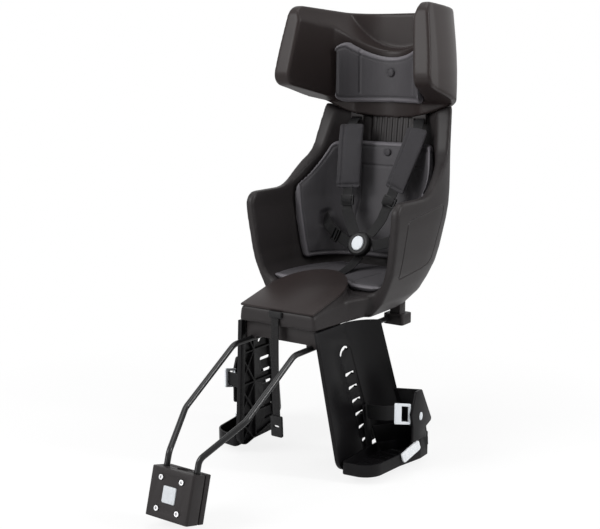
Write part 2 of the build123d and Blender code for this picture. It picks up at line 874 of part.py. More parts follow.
def make_footrest():
    outline = foot_outline()
    room = Pos(0, 0, foot_floor) * extrude(offset(outline, -foot_wall), foot_side_rim)
    body = extrude(outline, foot_side_rim) - room
    ahead = -2 * foot_toe
    behind = foot_length + foot_wall
    rim = [(ahead, -1), (behind, -1), (behind, foot_side_rim), (foot_neck_y, foot_side_rim)]
    rim += [(foot_waist_y, foot_rim), (ahead, foot_rim)]
    body &= extrude(Plane.YZ * make_face(Polyline(*rim, close=True)), side_reach)
    opening = Box(foot_open, foot_length * 3, foot_side_rim, align=(Align.MIN, Align.CENTER, Align.MIN))
    body -= Pos(-foot_wall, 0, foot_rim) * opening
    for index in range(tread_count):
        y = foot_front_round + (foot_neck_y - foot_front_round) * index / (tread_count - 1)
        tread = Box(foot_toe_width - 2 * foot_heel_round, tread_width, tread_height * 2)
        body += Pos(foot_toe_width / 2, y, foot_floor) * tread
    lug_height = strap_root_z + foot_strap_width / 2 - foot_rim
    lug = Box(lug_thick, lug_width, lug_height + foot_wall, align=(Align.MIN, Align.CENTER, Align.MIN))
    lug = Pos(slide_clear, strap_root_y, foot_rim - foot_wall) * Rot(0, -guard_tilt, 0) * lug
    return foot_frame() * (body + lug + make_heel())


def make_heel():
    """Wall behind the heel, leaning forward from the tray to the top of the catch."""
    strips = []
    for x, y, turn, z in (
        (heel_low_x, heel_low_y, 0, foot_rim - foot_wall),
        (heel_top_x, heel_top_y, heel_turn, catch_top_z - foot_wall),
    ):
        strip = Polyline((x, y), (foot_width, y + turn), (foot_width, y + turn + foot_wall), (x, y + foot_wall), close=True)
        strips.append(Pos(0, 0, z) * make_face(strip))
    return loft(strips, ruled=True)


def frame_corners(rear, front, bar):
    """Corners of the strap frame, upright at both ends and rising to the front with the guard's lean."""
    half = frame_height / 2 - bar
    return [
        (-rear, rear * foot_lean - half),
        (-front, front * foot_lean - half),
        (-front, front * foot_lean + half),
        (-rear, rear * foot_lean + half),
    ]


def make_foot_fittings():
    """Strap catch, its stud, the strap frame, the strap and the reflector of the right footrest."""
    frame = foot_frame()
    plate_face = rounded(
        [
            (catch_front_y, catch_front_z),
            (catch_top_front_y, catch_top_z),
            (catch_top_y, catch_top_z),
            (catch_rear_y, catch_rear_z),
            (catch_waist_y, catch_waist_z),
            (catch_neck_rear_y, catch_neck_low_z),
            (foot_neck_y, foot_side_rim),
            (catch_neck_front_y, foot_side_rim),
            (catch_neck_front_y, catch_neck_top_z),
        ],
        catch_round,
    )
    outside = foot_width + seat_clear
    plate = Pos(outside, 0, 0) * extrude(Plane.YZ * plate_face, plate_thick)
    stud_face = Pos(catch_stud_y, catch_stud_z) * Ellipse(catch_button_width / 2, catch_button_length / 2)
    stud = Pos(outside + plate_thick, 0, 0) * extrude(Plane.YZ * stud_face, catch_button_proud)
    stud = chamfer(stud.edges().group_by(Axis.X)[-1], catch_button_proud / 2)
    turn = radians(frame_turn)
    ring_plane = Plane(
        (foot_width, catch_front_y + frame_bar, catch_front_z),
        x_dir=(sin(turn), cos(turn), 0),
        z_dir=(cos(turn), -sin(turn), 0),
    )
    ring = make_face(FilletPolyline(*frame_corners(0, frame_length, 0), radius=frame_bar / 2, close=True))
    inner = frame_corners(frame_bar, frame_length - frame_front_bar, frame_bar)
    ring -= make_face(Polyline(*inner, close=True))
    ring = ring_plane * extrude(ring, -frame_thick)
    root_low = strap_root_z - foot_strap_width / 2
    root_x = slide_clear + lug_thick + seat_clear - (root_low - foot_rim) * guard_out
    reach = frame_length - frame_front_bar / 2
    inside = Vector(-reach, reach * foot_lean, -frame_thick - seat_clear)
    end = ring_plane.from_local_coords(inside)
    near = ring_plane.from_local_coords(inside - Vector(0, 0, 2 * foot_strap_thick))
    middle = (Vector(root_x, strap_root_y, strap_root_z) + end) * 0.5 + Vector(strap_bow, -strap_bow, 0)
    points = [(root_x, strap_root_y, strap_root_z), middle, near, end]
    strap = ribbon(points, (0, 0, 1), foot_strap_width, foot_strap_thick)
    along = Vector(foot_width - foot_waist_width, foot_neck_y - foot_waist_y).normalized()
    slope = atan2(foot_side_rim - foot_rim, foot_neck_y - foot_waist_y)
    out = Vector(along.Y, -along.X)
    middle = Vector(foot_waist_width, foot_waist_y) + along * ((reflector_y - foot_waist_y) / along.Y) + out * seat_clear
    reflector_plane = Plane(
        (middle.X, middle.Y, reflector_z),
        x_dir=(along.X * cos(slope), along.Y * cos(slope), sin(slope)),
        z_dir=(out.X, out.Y, 0),
    )
    reflector = RectangleRounded(reflector_length, reflector_height, reflector_height / 4)
    reflector = reflector_plane * extrude(reflector, reflector_thick)
    save_pair("strap_catch", frame * plate)
    save_pair("catch_stud", frame * stud)
    save_pair("strap_frame", frame * ring)
    save_pair("foot_strap", frame * strap)
    save_pair("foot_reflector", frame * reflector)


# Harness
def make_harness():
    facing = Vector(0, -cos(radians(buckle_lean)), sin(radians(buckle_lean)))
    plane = Plane((0, buckle_y, buckle_z), x_dir=(1, 0, 0), z_dir=facing)
    shell = extrude(Circle(buckle_radius), buckle_thick)
    shell = chamfer(shell.edges().group_by(Axis.Z)[-1], buckle_round)
    room = extrude(
        Ellipse(buckle_button_width / 2 + button_clear, buckle_button_height / 2 + button_clear),
        buckle_button_depth - buckle_button_proud + button_travel + button_clear,
    )
    depth = buckle_button_depth - buckle_button_proud + button_travel + button_clear
    shell -= Pos(0, 0, buckle_thick - depth) * room
    button = extrude(Ellipse(buckle_button_width / 2, buckle_button_height / 2), buckle_button_depth)
    button = chamfer(button.edges().group_by(Axis.Z)[-1], buckle_button_proud * 0.8)
    button = Pos(0, 0, buckle_thick + buckle_button_proud - buckle_button_depth) * button
    save("harness_buckle", plane * shell)
    save("buckle_button", plane * button)
    for side, pad_route, web_route in (
        ("left", left_pad_route, left_web_route),
        ("right", right_pad_route, right_web_route),
    ):
        way = copysign(1, pad_route[0][0])
        across = (way, -pad_turn, 0)
        save(f"{side}_shoulder_pad", ribbon(pad_route, across, shoulder_pad_width, shoulder_pad_thick))
        top = Vector(pad_route[0])
        low = Vector(pad_route[-1])
        rise = (top - Vector(pad_route[1])).normalized()
        fall = (low - Vector(pad_route[-2])).normalized()
        guide = Vector(way * guide_x, guide_y - seat_clear, guide_low() + guide_slot_height)
        upper_route = [top + rise * strap_rise_out, guide]
        lock = low + fall * adjuster_drop
        lock_half = adjuster_height / 2 + strap_gap
        lower_route = [low + fall * strap_gap, lock - fall * lock_half]
        straps = [ribbon(route, (1, 0, 0), web_width, web_thick) for route in (upper_route, lower_route)]
        save(f"{side}_shoulder_strap", Compound(straps))
        level = (Vector(1, 0, 0) - fall * fall.X).normalized()
        lock_plane = Plane(lock, x_dir=level, z_dir=level.cross(fall))
        save(f"{side}_shoulder_adjuster", lock_plane * make_adjuster())
        web_start = [lock + fall * lock_half, lock + fall * (lock_half + web_lead)]
        save(f"{side}_lower_webbing", ribbon(web_start + web_route, (1, 0, 0), web_width, web_thick))
    hip = ribbon(hip_route, (0, 0.35, 1), web_width, web_thick)
    bend, buckle_end = Vector(hip_route[1]), Vector(hip_route[2])
    run = (buckle_end - bend).normalized()
    hip_mid = bend + run * adjuster_drop
    lock_out = run.cross(Vector(0, 0.35, 1)).normalized()
    lock_out = lock_out if lock_out.Y < 0 else lock_out * -1
    lock_lift = adjuster_thick / 2 + web_thick + seat_clear
    lock_plane = Plane(hip_mid + lock_out * lock_lift, x_dir=run, z_dir=lock_out)
    save_pair("hip_strap", hip)
    save_pair("hip_adjuster", lock_plane * Rot(0, 0, 90) * make_adjuster())
    save("crotch_strap", ribbon(crotch_route, (1, 0, 0), web_width, web_thick))


def make_adjuster():
    """Ladder lock: a plate with two slots for the webbing and a bar between them."""
    plate = RectangleRounded(adjuster_width, adjuster_height, adjuster_thick / 2)
    slot_height = adjuster_height / 4
    for y in (-adjuster_height / 4, adjuster_height / 4):
        plate -= Pos(0, y) * Rectangle(web_width + 1, slot_height)
    return extrude(plate, adjuster_thick / 2, both=True)


# Hanging safety strap on the front of the nose
def make_safety_strap():
    path = FilletPolyline(*safety_route, radius=safety_bend_radii())
    run = Vector(safety_route[1]) - Vector(safety_route[0])
    start = Plane(safety_route[0], x_dir=(1, 0, 0), z_dir=run)
    strap = sweep(start * Rectangle(safety_width, safety_thick), path=path)
    save("safety_strap", strap)
    end = Vector(safety_route[-1])
    last = (end - Vector(safety_route[-2])).normalized()
    tip = RectangleRounded(safety_tip_width, safety_tip_length, safety_tip_thick / 2)
    tip -= SlotOverall(safety_tip_slot, safety_tip_slot_height)
    tip = extrude(tip, safety_tip_thick / 2, both=True)
    face = Vector(1, 0, 0).cross(last)
    centre = end + last * (safety_tip_length / 2)
    save("safety_strap_tip", Plane(centre, x_dir=(1, 0, 0), z_dir=face) * tip)
    keeper = Box(keeper_width, keeper_depth, keeper_height, align=(Align.CENTER, Align.MAX, Align.MIN))
    keeper = fillet(keeper.edges().filter_by(Axis.Z).group_by(Axis.Y)[0], keeper_depth / 2)
    save("strap_keeper", Pos(0, nose_front_y, safety_route[0][2] + seat_clear) * keeper)


def safety_bend_radii():
    """Largest bend at each inner point of the strap's route that its two runs allow."""
    points = [Vector(point) for point in safety_route]
    radii = []
    for before, here, after in zip(points, points[1:], points[2:]):
        turn = (here - before).get_angle(after - here)
        radii.append(0.45 * min((here - before).length, (after - here).length) / tan(radians(turn / 2)))
    return radii


if __name__ == "__main__":
    make_block()
    make_bars()
    outer = shell_outer()
    inner = shell_inner()
    make_bar_clamps(outer)
    save("seat_shell", make_shell(outer, inner))
    save("nose_cover", nose_plane * extrude(cover_outline(0), cover_thick))
    back_pad, seat_pad = make_bucket_pads()
    save("back_pad", back_pad)
    save("seat_pad", seat_pad)
    headrest, head_pad, slider = make_headrest()
    save("headrest_shell", headrest)
    save("headrest_pad", head_pad)
    save("headrest_slider", slider)
    save("strap_guides", make_guides())
    make_studs()
    save_pair("leg_guard", make_guard())
    save_pair("footrest", make_footrest())
    make_foot_fittings()
    make_harness()
    make_safety_strap()
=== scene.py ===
"""Looks of a child bike seat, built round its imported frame."""

import json
import math
from contextlib import contextmanager

import bpy
import numpy as np
from bpy.props import FloatProperty, FloatVectorProperty, IntProperty, PointerProperty
from bpy.types import Operator, Panel, PropertyGroup
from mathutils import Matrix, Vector
from mathutils.kdtree import KDTree


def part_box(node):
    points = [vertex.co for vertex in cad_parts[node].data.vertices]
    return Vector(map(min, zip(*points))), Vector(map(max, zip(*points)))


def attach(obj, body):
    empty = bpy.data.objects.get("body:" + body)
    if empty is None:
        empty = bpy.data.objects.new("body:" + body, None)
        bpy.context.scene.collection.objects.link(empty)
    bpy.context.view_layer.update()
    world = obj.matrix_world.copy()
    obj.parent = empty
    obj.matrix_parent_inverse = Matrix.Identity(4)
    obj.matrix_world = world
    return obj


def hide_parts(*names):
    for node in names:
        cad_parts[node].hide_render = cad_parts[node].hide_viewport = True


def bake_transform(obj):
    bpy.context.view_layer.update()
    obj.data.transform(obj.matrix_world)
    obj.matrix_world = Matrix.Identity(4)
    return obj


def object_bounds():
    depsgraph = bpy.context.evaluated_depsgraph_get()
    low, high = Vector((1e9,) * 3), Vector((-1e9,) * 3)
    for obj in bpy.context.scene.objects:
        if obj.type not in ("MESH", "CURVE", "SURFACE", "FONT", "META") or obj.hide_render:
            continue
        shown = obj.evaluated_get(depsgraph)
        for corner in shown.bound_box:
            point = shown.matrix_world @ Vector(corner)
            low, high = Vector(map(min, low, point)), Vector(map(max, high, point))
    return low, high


bl_info = {
    "name": "Child Bike Seat",
    "version": (1, 0, 0),
    "blender": (4, 5, 0),
    "location": "View3D > Sidebar > Bike Seat",
    "description": "Moulded shell, pads, harness and carrier of a child bike seat",
    "category": "Object",
}

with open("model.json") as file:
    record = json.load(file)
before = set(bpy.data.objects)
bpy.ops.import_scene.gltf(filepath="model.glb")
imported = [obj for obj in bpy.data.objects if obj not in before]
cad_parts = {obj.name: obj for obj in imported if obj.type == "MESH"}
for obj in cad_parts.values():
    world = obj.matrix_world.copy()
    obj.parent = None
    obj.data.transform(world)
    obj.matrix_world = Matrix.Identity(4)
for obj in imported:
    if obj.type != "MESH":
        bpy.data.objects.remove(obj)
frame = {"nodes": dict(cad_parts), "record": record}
NODES = frame["nodes"]
CAD_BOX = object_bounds()
SIDES = ("left", "right")
MM = 0.001
WELD = 0.02 * MM


# Sizes and colours that a user would change
def length(name, default, description):
    return FloatProperty(
        name=name, description=description, default=default, min=0.0, subtype="DISTANCE", unit="LENGTH"
    )


def number(name, default, description):
    return IntProperty(name=name, description=description, default=default, min=1)


def colour(name, default, description):
    return FloatVectorProperty(
        name=name, description=description, default=default, size=3, min=0.0, max=1.0, subtype="COLOR"
    )


class SeatSizes(PropertyGroup):
    fine_voxel: length("Fine voxel", 1.4 * MM, "Mesh size on which rims are rounded")
    shell_voxel: length("Shell voxel", 3.4 * MM, "Mesh size of the smooth bucket shell")
    head_voxel: length("Headrest voxel", 2.8 * MM, "Mesh size of the smooth headrest")
    rim_edge: length("Rim edge", 4.0 * MM, "Round on the rims of the shell and headrest before they are rolled")
    pad_edge: length("Pad edge", 5.5 * MM, "Round on a pad's rim before it is rolled")
    pad_voxel: length("Pad voxel", 2.4 * MM, "Mesh size of a pad")
    shell_turns: number("Shell rounding", 30, "Smoothing steps that roll the shell's rims")
    head_turns: number("Headrest rounding", 14, "Smoothing steps that roll the wings")
    pad_turns: number("Pad rounding", 30, "Smoothing steps that round a pad's rim")
    flat_turns: number("Pad evening", 60, "Smoothing steps that even out a pad's broad faces")
    pad_frames: number("Pad frames", 12, "Frames for which a pad is plumped")
    pad_cap: length("Pad swell", 3.0 * MM, "Most that a pad may swell")
    pad_pressure: FloatProperty(
        name="Pad pressure", description="Pressure inside a pad as it is plumped", default=4.0
    )
    seam_width: length("Seam width", 3.2 * MM, "Half width of a pressed seam")
    seam_depth: length("Seam depth", 2.2 * MM, "Depth of a pressed seam")
    piping: length("Piping", 0.7 * MM, "Height of the roll along a pad's rim")
    engraving: length("Engraving", 1.7 * MM, "Depth of the line engraved in the arms")
    web_width: length("Webbing width", 25 * MM, "Width of the harness webbing")
    web_thick: length("Webbing thickness", 1.8 * MM, "Thickness of the harness webbing")
    tooth_height: length("Tooth height", 0.7 * MM, "Height of the rows of teeth on the safety strap")
    tooth_pitch: length("Tooth pitch", 4.6 * MM, "Distance between the teeth of the safety strap")


class SeatColours(PropertyGroup):
    shell: colour("Shell", (0.0205, 0.0180, 0.0183), "Bucket and nose")
    cover: colour("Cover", (0.0210, 0.0160, 0.0155), "Nose cover and headrest")
    guard: colour("Guard", (0.0052, 0.0049, 0.0055), "Leg guards and footrests")
    pad: colour("Pad", (0.0440, 0.0415, 0.0455), "Foam pads")
    cloth: colour("Cloth", (0.0240, 0.0225, 0.0255), "Shoulder pads")
    webbing: colour("Webbing", (0.0060, 0.0058, 0.0062), "Straps")
    dark: colour("Fittings", (0.012, 0.012, 0.0125), "Buckle and adjusters")
    pale: colour("Pale fittings", (0.64, 0.67, 0.70), "Buttons and strap frames")
    bar: colour("Bars", (0.008, 0.008, 0.0085), "Carrier bars")
    steel: colour("Steel", (0.62, 0.62, 0.63), "Bolts and nuts")


def sizes():
    return bpy.context.scene.seat_sizes


def colours():
    return bpy.context.scene.seat_colours


# Shader nodes written as Python expressions
class Value:
    """Socket of a shader tree that takes part in expressions."""

    def __init__(self, finish, socket):
        self.finish = finish
        self.socket = socket

    def math(self, operation, first, second=0.0):
        return self.finish.node("ShaderNodeMath", {"operation": operation}, {0: first, 1: second})

    def __add__(self, other):
        return self.math("ADD", self, other)

    def __radd__(self, other):
        return self.math("ADD", other, self)

    def __sub__(self, other):
        return self.math("SUBTRACT", self, other)

    def __rsub__(self, other):
        return self.math("SUBTRACT", other, self)

    def __mul__(self, other):
        return self.math("MULTIPLY", self, other)

    def __rmul__(self, other):
        return self.math("MULTIPLY", other, self)

    def sine(self):
        return self.math("SINE", self)

    def limited(self):
        return self.finish.node("ShaderNodeClamp", {}, {"Value": self})


class Finish:
    """Procedural material with one principled shader."""

    def __init__(self, name, roughness=0.5, **shader_values):
        self.material = bpy.data.materials.new(name)
        self.material.use_nodes = True
        self.tree = self.material.node_tree
        self.shader = self.tree.nodes["Principled BSDF"]
        self.shader.inputs["Roughness"].default_value = roughness
        for socket, value in shader_values.items():
            self.shader.inputs[socket.replace("_", " ")].default_value = value

    def node(self, kind, settings=None, inputs=None, output=0):
        """New node with its settings, then the values or links of its sockets."""
        made = self.tree.nodes.new(kind)
        for key, value in (settings or {}).items():
            if key == "stops":
                for stop, (place, shade) in zip(made.color_ramp.elements, value):
                    stop.position = place
                    stop.color = (*shade, 1.0)
            else:
                setattr(made, key, value)
        for key, value in (inputs or {}).items():
            self.put(made.inputs[key], value)
        return Value(self, made.outputs[output])

    def put(self, socket, value):
        if isinstance(value, Value):
            self.tree.links.new(value.socket, socket)
        elif isinstance(value, tuple) and len(value) == 3 and socket.type == "RGBA":
            socket.default_value = (*value, 1.0)
        else:
            socket.default_value = value

    def set(self, **inputs):
        for name, value in inputs.items():
            self.put(self.shader.inputs[name.replace("_", " ")], value)

    def place(self):
        return self.node("ShaderNodeTexCoord", output="Object")

    def route(self):
        return self.node("ShaderNodeUVMap", {"uv_map": "route"})

    def noise(self, where, scale, detail=2.0):
        return self.node("ShaderNodeTexNoise", {}, {"Vector": where, "Scale": scale, "Detail": detail}, "Fac")

    def cells(self, where, scale, feature="F1"):
        return self.node("ShaderNodeTexVoronoi", {"feature": feature}, {"Vector": where, "Scale": scale}, "Distance")

    def axes(self, where):
        node = self.node("ShaderNodeSeparateXYZ", {}, {"Vector": where}).socket.node
        return [Value(self, socket) for socket in node.outputs]

    def mix(self, share, low, high):
        ramp = {"Factor": share, 6: low, 7: high}
        return self.node("ShaderNodeMix", {"data_type": "RGBA"}, ramp, 2)

    def bump(self, height, depth, strength=1.0):
        return self.node("ShaderNodeBump", {}, {"Strength": strength, "Distance": depth, "Height": height})


def shade(tint, factor):
    return tuple(min(1.0, part * factor) for part in tint)


def moulded(name, tint, roughness, grain=700.0, depth=0.12 * MM, spread=0.22, gloss=0.15):
    """Moulded plastic: spark-eroded grain, slow changes of tone and faint flow marks."""
    finish = Finish(name, roughness, Specular_IOR_Level=gloss)
    where = finish.place()
    fine = finish.noise(where, grain, 3.0)
    broad = finish.noise(where, 7.0, 3.0)
    tone = finish.mix(broad, shade(tint, 1 - spread), shade(tint, 1 + spread))
    finish.set(Base_Color=tone)
    finish.set(Roughness=roughness - 0.09 + 0.10 * fine + 0.08 * broad)
    finish.set(Normal=finish.bump(fine, depth, 0.5))
    return finish.material


def foam(name, tint):
    """Moulded closed-cell foam: fine pebbled skin with slow changes of tone, and a painted highlight that makes the
    piping along the rim paler.
    """
    finish = Finish(name, 0.62, Specular_IOR_Level=0.3)
    where = finish.place()
    # The "rim" attribute is the share of the piping roll, and it carries the painted highlight below.
    rim = finish.node("ShaderNodeAttribute", {"attribute_name": "rim"}, output="Fac")
    pebbles = finish.cells(where, 520.0)
    fine = finish.noise(where, 1300.0)
    broad = finish.noise(where, 11.0, 3.0)
    plain = finish.mix(broad, shade(tint, 0.84), shade(tint, 1.16))
    # Painted highlight: where the "rim" attribute is high, on the piping, the foam's colour is made 2.6 times paler.
    finish.set(Base_Color=finish.mix(rim, plain, shade(tint, 2.6)))
    finish.set(Roughness=0.54 + 0.12 * pebbles + 0.08 * broad - 0.16 * rim)
    finish.set(Normal=finish.bump(pebbles + 0.3 * fine, 0.16 * MM, 0.55))
    return finish.material


def knit(name, tint):
    """Tight knitted cloth over a sleeve of foam."""
    finish = Finish(name, 0.72, Specular_IOR_Level=0.25, Sheen_Weight=0.1, Sheen_Roughness=0.45)
    where = finish.place()
    x, y, z = finish.axes(where)
    wales = (x * (2 * math.pi / (1.3 * MM))).sine()
    courses = ((z + 0.3 * y) * (2 * math.pi / (1.1 * MM))).sine()
    loops = wales * courses
    broad = finish.noise(where, 26.0, 3.0)
    finish.set(Base_Color=finish.mix(broad, shade(tint, 0.8), shade(tint, 1.2)))
    finish.set(Roughness=0.64 + 0.1 * broad)
    finish.set(Normal=finish.bump(loops, 0.12 * MM, 0.5))
    return finish.material


def woven(name, tint):
    """Polyester webbing: cross ribs and lengthwise rows, with paler selvedge yarns."""
    finish = Finish(name, 0.6, Specular_IOR_Level=0.2)
    across, along, _ = finish.axes(finish.route())
    rows = (across * (2 * math.pi / (2.6 * MM))).sine()
    ribs = ((along + 0.35 * MM * rows) * (2 * math.pi / (1.7 * MM))).sine()
    yarn = rows * 0.5 + ribs * 0.5
    broad = finish.noise(finish.place(), 60.0, 3.0)
    finish.set(Base_Color=finish.mix(yarn * 0.35 + 0.3 * broad + 0.2, shade(tint, 0.6), shade(tint, 1.9)))
    finish.set(Roughness=0.5 + 0.18 * broad)
    finish.set(Normal=finish.bump(yarn, 0.25 * MM, 0.7))
    return finish.material


def prismatic(name, tint):
    """Pale reflector with rows of small prisms under a clear skin."""
    finish = Finish(name, 0.25, Coat_Weight=0.6, Coat_Roughness=0.08)
    where = finish.place()
    prisms = finish.cells(where, 260.0, "DISTANCE_TO_EDGE")
    broad = finish.noise(where, 30.0)
    finish.set(Base_Color=finish.mix(prisms * 2.0, shade(tint, 0.8), shade(tint, 1.12)))
    finish.set(Roughness=0.2 + 0.15 * broad)
    finish.set(Normal=finish.bump(prisms, 0.5 * MM, 0.5))
    return finish.material


def mottled(name, tint):
    """Pale plastic mottled with darker specks."""
    finish = Finish(name, 0.5)
    where = finish.place()
    specks = finish.noise(where, 900.0, 4.0)
    cloud = finish.noise(where, 160.0, 3.0)
    finish.set(Base_Color=finish.mix(specks * 0.6 + 0.4 * cloud, shade(tint, 0.62), shade(tint, 1.35)))
    finish.set(Roughness=0.42 + 0.16 * specks)
    finish.set(Normal=finish.bump(specks, 0.1 * MM, 0.4))
    return finish.material


def steel(name, tint):
    """Zinc-plated steel with turning marks and a little tarnish."""
    finish = Finish(name, 0.3, Metallic=1.0)
    where = finish.place()
    tarnish = finish.noise(where, 220.0, 4.0)
    finish.set(Base_Color=finish.mix(tarnish, shade(tint, 0.72), shade(tint, 1.1)))
    finish.set(Roughness=0.2 + 0.24 * tarnish)
    finish.set(Normal=finish.bump(finish.noise(where, 2600.0), 0.05 * MM, 0.4))
    return finish.material


def coated(name, tint):
    """Black powder coat with a fine orange peel."""
    finish = Finish(name, 0.3, Specular_IOR_Level=0.2, Coat_Weight=0.15, Coat_Roughness=0.15)
    where = finish.place()
    peel = finish.noise(where, 620.0, 2.0)
    broad = finish.noise(where, 18.0, 2.0)
    finish.set(Base_Color=finish.mix(broad, shade(tint, 0.8), shade(tint, 1.3)))
    finish.set(Roughness=0.24 + 0.1 * peel)
    finish.set(Normal=finish.bump(peel, 0.12 * MM, 0.45))
    return finish.material


def finish_of(slot):
    """Material of one of the record's slots, made once."""
    name = f"{slot}_finish"
    made = bpy.data.materials.get(name)
    if made:
        return made
    tint = colours()
    pale = tuple(tint.pale)
    makers = {
        "shell_plastic": lambda: moulded(name, tint.shell, 0.42),
        "cover_plastic": lambda: moulded(name, tint.cover, 0.38, grain=900.0),
        "guard_plastic": lambda: moulded(name, tint.guard, 0.36, gloss=0.12),
        "slider_plastic": lambda: moulded(name, tint.shell, 0.44, grain=1000.0),
        "block_plastic": lambda: moulded(name, tint.shell, 0.5, grain=520.0, depth=0.2 * MM),
        "stud_plastic": lambda: moulded(name, tint.pad, 0.45, grain=1100.0),
        "buckle_plastic": lambda: moulded(name, tint.dark, 0.4, grain=1100.0),
        "foot_strap_rubber": lambda: moulded(name, tint.dark, 0.55, grain=800.0),
        "grey_plastic": lambda: moulded(name, pale, 0.42, grain=1100.0, spread=0.06, gloss=0.4),
        "reflector_grey": lambda: prismatic(name, shade(pale, 1.4)),
        "release_grey": lambda: mottled(name, shade(pale, 0.8)),
        "pad_foam": lambda: foam(name, tint.pad),
        "shoulder_foam": lambda: knit(name, tint.cloth),
        "webbing": lambda: woven(name, tint.webbing),
        "bar_steel": lambda: coated(name, tint.bar),
        "bolt_steel": lambda: steel(name, tint.steel),
    }
    return makers[slot]()


SLOT_OF = {row["node"]: row["material_slot"] for row in frame["record"]["subparts"]}
BODY_OF = {node: body for body, nodes in frame["record"]["behaviour"]["bodies"].items() for node in nodes}


# Routes of the webbing, as the solids have them, in millimetres
PAD_ROUTES = {
    "left": [(-82, 731, 644), (-78, 717, 598), (-74, 706, 545), (-72, 698, 494)],
    "right": [(92, 730, 640), (84, 715, 598), (68, 705, 548), (50, 697, 497)],
}
WEB_ROUTES = {
    "left": [(-45, 668, 424), (-18.3, 640.8, 398.9)],
    "right": [(34, 668, 426), (20, 642.1, 400.1)],
}
HIP_ROUTE = [(126, 688, 431), (119, 677, 420), (100, 672, 396), (30.6, 637, 376)]
CROTCH_ROUTE = [(0, 522, 321.7), (0, 570, 325), (0, 610, 339), (0, 630, 349)]
SAFETY_ROUTE = [(0, 302, 274), (0, 301, 205), (0, 302.5, 132), (0, 306, 64)]
FOOT_ROUTE = [(132, 453, 58), (182, 431, 68), (211, 425.8, 77.8), (219.3, 424.4, 77.8)]
ARM_LINE = [
    (505, 440), (501, 352), (501, 342), (509, 339), (596, 349), (628, 356), (640, 366),
    (668, 462), (668, 476), (656, 480), (616, 475), (549, 468), (515, 464), (506, 456), (505, 440),
]


def metres(points):
    return np.array(points, float) * MM


def unit(vector):
    return vector / np.linalg.norm(vector)


def middle(node):
    low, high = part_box(node)
    return np.array(low + high) / 2


# Modelling steps
def select_only(piece):
    bpy.ops.object.select_all(action="DESELECT")
    piece.select_set(True)
    bpy.context.view_layer.objects.active = piece


@contextmanager
def editing(piece, action="SELECT"):
    select_only(piece)
    bpy.ops.object.mode_set(mode="EDIT")
    bpy.ops.mesh.select_mode(type="FACE")
    bpy.ops.mesh.select_all(action=action)
    yield
    bpy.ops.object.mode_set(mode="OBJECT")


def modify(piece, kind, **settings):
    """Adds a modifier, sets it and applies it."""
    select_only(piece)
    bpy.ops.object.modifier_add(type=kind)
    modifier = piece.modifiers[-1]
    for key, value in settings.items():
        setattr(modifier, key, value)
    bpy.ops.object.modifier_apply(modifier=modifier.name)


def copy_node(node, name):
    """New piece with a node's own form, its loose triangles welded."""
    mesh = NODES[node].data.copy()
    mesh.materials.clear()
    piece = bpy.data.objects.new(name, mesh)
    bpy.context.scene.collection.objects.link(piece)
    with editing(piece):
        bpy.ops.mesh.remove_doubles(threshold=WELD)
        bpy.ops.mesh.customdata_custom_splitnormals_clear()
    return piece


def points_of(piece):
    flat = np.zeros(len(piece.data.vertices) * 3, np.float32)
    piece.data.vertices.foreach_get("co", flat)
    return flat.reshape(-1, 3).astype(float)


def normals_of(piece):
    flat = np.zeros(len(piece.data.vertices) * 3, np.float32)
    piece.data.vertex_normals.foreach_get("vector", flat)
    return flat.reshape(-1, 3).astype(float)


def move_points(piece, points):
    piece.data.vertices.foreach_set("co", points.astype(np.float32).ravel())
    piece.data.update()


def mark(piece, name, weights):
    """Vertex group that holds one weight for each point."""
    group = piece.vertex_groups.new(name=name)
    for step in np.unique(np.round(weights, 2)):
        if step > 0:
            chosen = np.flatnonzero(np.round(weights, 2) == step)
            group.add([int(index) for index in chosen], float(step), "REPLACE")
    return name


def round_edges(piece, width, segments):
    """Joins a form's flat faces and rounds its edges."""
    with editing(piece):
        bpy.ops.mesh.dissolve_limited(angle_limit=math.radians(0.3))
    modify(
        piece,
        "BEVEL",
        width=width,
        segments=segments,
        limit_method="ANGLE",
        angle_limit=math.radians(30),
        use_clamp_overlap=False,
    )


def crisp(node, name, width):
    """A node's form with small rounds on its edges."""
    piece = copy_node(node, name)
    round_edges(piece, width, 2)
    select_only(piece)
    bpy.ops.object.shade_smooth_by_angle(angle=math.radians(38))
    return piece


def melt(piece, edge, turns, weight=None):
    """Rounds a form over on a fine mesh."""
    round_edges(piece, edge, 3)
    modify(piece, "REMESH", mode="VOXEL", voxel_size=sizes().fine_voxel, use_smooth_shade=True)
    group = mark(piece, "roll", weight(points_of(piece))) if weight else ""
    modify(piece, "SMOOTH", factor=0.5, iterations=turns, vertex_group=group)


def rolled(node, name, voxel, edge, turns, weight=None):
    """A node's form as one smooth moulding, with its rims rolled over."""
    piece = copy_node(node, name)
    melt(piece, edge, turns, weight)
    modify(piece, "REMESH", mode="VOXEL", voxel_size=voxel, use_smooth_shade=True)
    modify(piece, "SMOOTH", factor=0.5, iterations=3)
    return piece


def distance_to_line(points, line):
    """Shortest way from each point to a line of points, closed or open, in any number of axes."""
    best = np.full(len(points), 1e9)
    for start, end in zip(line[:-1], line[1:]):
        run = end - start
        share = np.clip(((points - start) @ run) / (run @ run), 0, 1)
        best = np.minimum(best, np.linalg.norm(points - start - share[:, None] * run, axis=1))
    return best


def press(piece, line, axes, where, width, depth):
    """Presses a line into a piece: the line is drawn on two axes, and where picks the points it reaches."""
    points = points_of(piece)
    normals = normals_of(piece)
    away = distance_to_line(points[:, axes], np.array(line, float)[:, : len(axes)])
    dip = depth * np.clip(1 - (away / width) ** 2, 0, 1) ** 2 * where(points, normals)
    move_points(piece, points - normals * dip[:, None])


